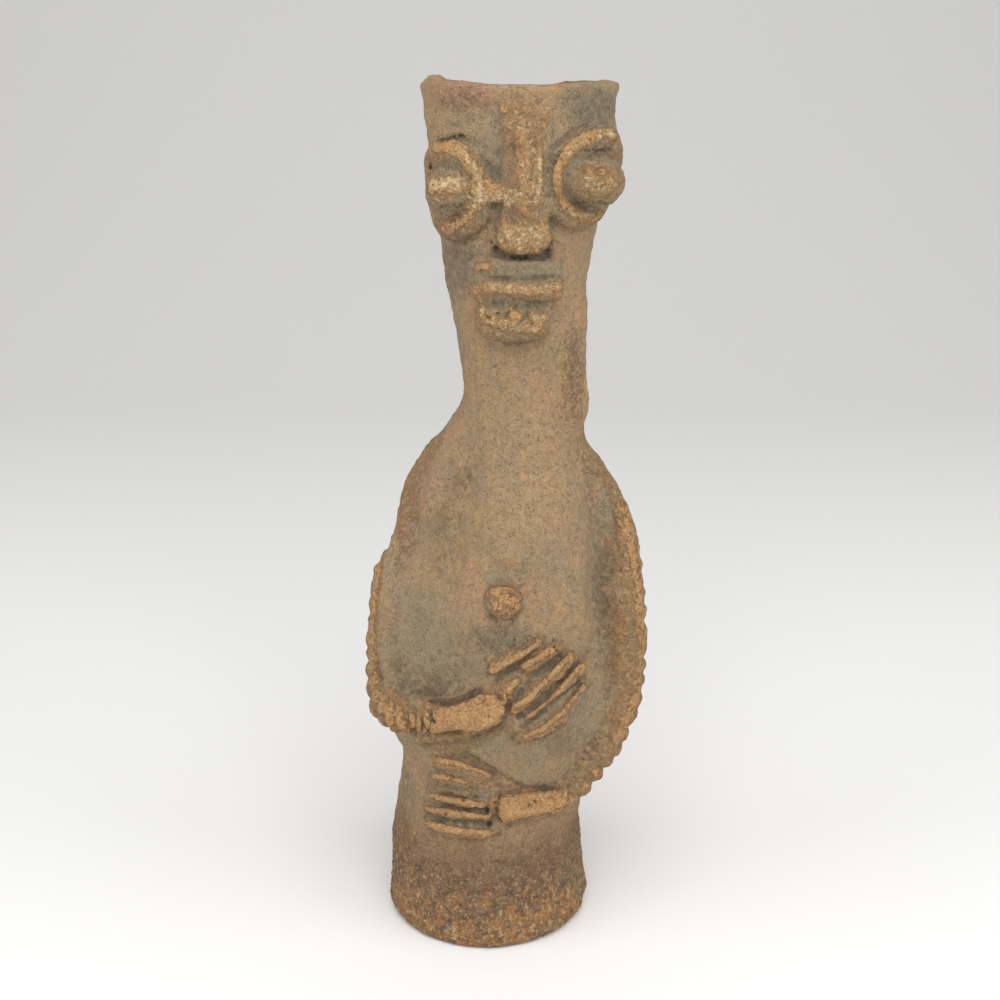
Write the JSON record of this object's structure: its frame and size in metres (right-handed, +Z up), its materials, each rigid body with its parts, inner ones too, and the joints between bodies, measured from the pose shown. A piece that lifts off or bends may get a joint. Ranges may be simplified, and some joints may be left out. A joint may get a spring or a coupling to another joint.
{
  "type": "terracotta funerary figure",
  "caption": "Hollow hand-built clay figure: a standing tube with a swelling belly, long neck, goggle-eyed head open at the top, and pie-crust arms folded over the belly.",
  "frame": {"origin": "middle of the flat underside that the figure stands on", "axes": "+Z up along the tube, -Y the way the figure faces, +X the viewer's right, which is the figure's left"},
  "size_m": [0.1681, 0.1435, 0.5082],
  "materials": {
    "fired_clay": "unglazed low-fired clay, matte, weathered, with worn orange high spots and grey-green dirt in the hollows"
  },
  "bodies": {
    "root": {"funerary_figure": "fired_clay"}
  },
  "joints": []
}
